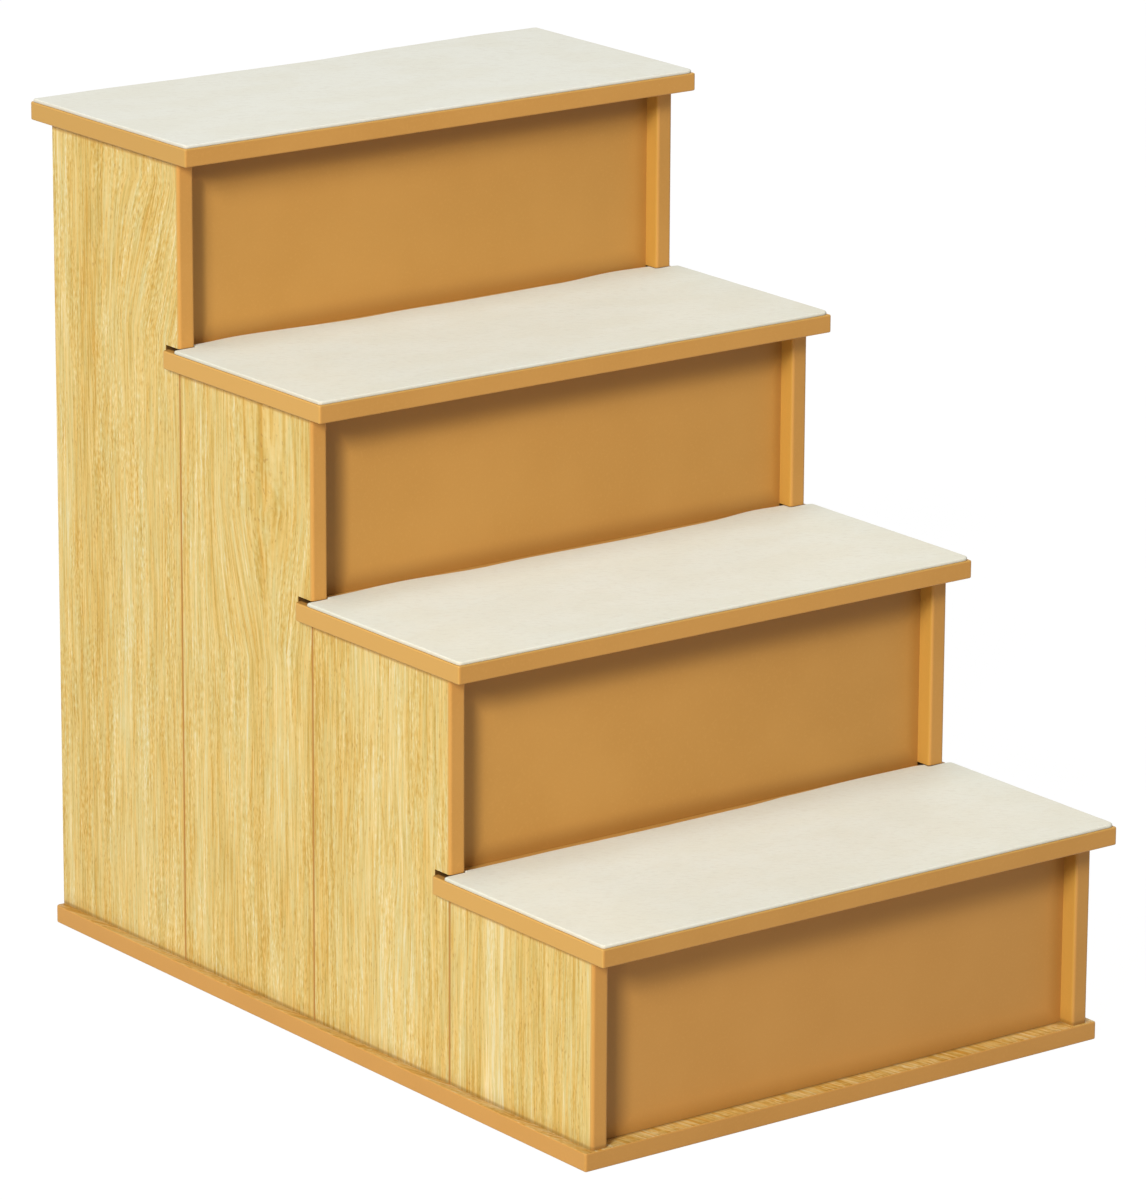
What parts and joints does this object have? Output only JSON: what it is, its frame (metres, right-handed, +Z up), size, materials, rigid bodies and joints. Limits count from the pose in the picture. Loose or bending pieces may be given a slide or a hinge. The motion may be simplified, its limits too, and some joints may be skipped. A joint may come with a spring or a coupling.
{
  "type": "pet stairs",
  "caption": "Free-standing pet stairs of laminated boards: stepped side walls, overhanging treads with felt pads, recessed risers and a flat base board.",
  "frame": {"origin": "on the floor, under the middle of the whole outline", "axes": "+Z up, +Y from the lowest step to the back, +X to the right of someone who faces the steps"},
  "size_m": [0.411, 0.6234, 0.5625],
  "materials": {
    "oak_laminate": "satin",
    "caramel_laminate": "satin",
    "cream_felt": "matte",
    "beech_dowel": "matte",
    "zinc_plated_steel": "satin",
    "cast_zinc": "matte"
  },
  "bodies": {
    "root": {"base_board": "oak_laminate", "left_side_board_1": "oak_laminate", "left_side_board_2": "oak_laminate", "left_side_board_3": "oak_laminate", "left_side_board_4": "oak_laminate", "right_side_board_1": "oak_laminate", "right_side_board_2": "oak_laminate", "right_side_board_3": "oak_laminate", "right_side_board_4": "oak_laminate", "riser_1": "caramel_laminate", "riser_2": "caramel_laminate", "riser_3": "caramel_laminate", "riser_4": "caramel_laminate", "tread_1": "caramel_laminate", "tread_2": "caramel_laminate", "tread_3": "caramel_laminate", "tread_4": "caramel_laminate", "back_panel": "caramel_laminate", "tread_pad_1": "cream_felt", "tread_pad_2": "cream_felt", "tread_pad_3": "cream_felt", "tread_pad_4": "cream_felt", "seam_dowels": "beech_dowel", "tread_dowels": "beech_dowel", "base_screws": "zinc_plated_steel", "tread_screws": "zinc_plated_steel", "cam_bolts": "zinc_plated_steel", "cam_discs": "cast_zinc"}
  },
  "joints": []
}
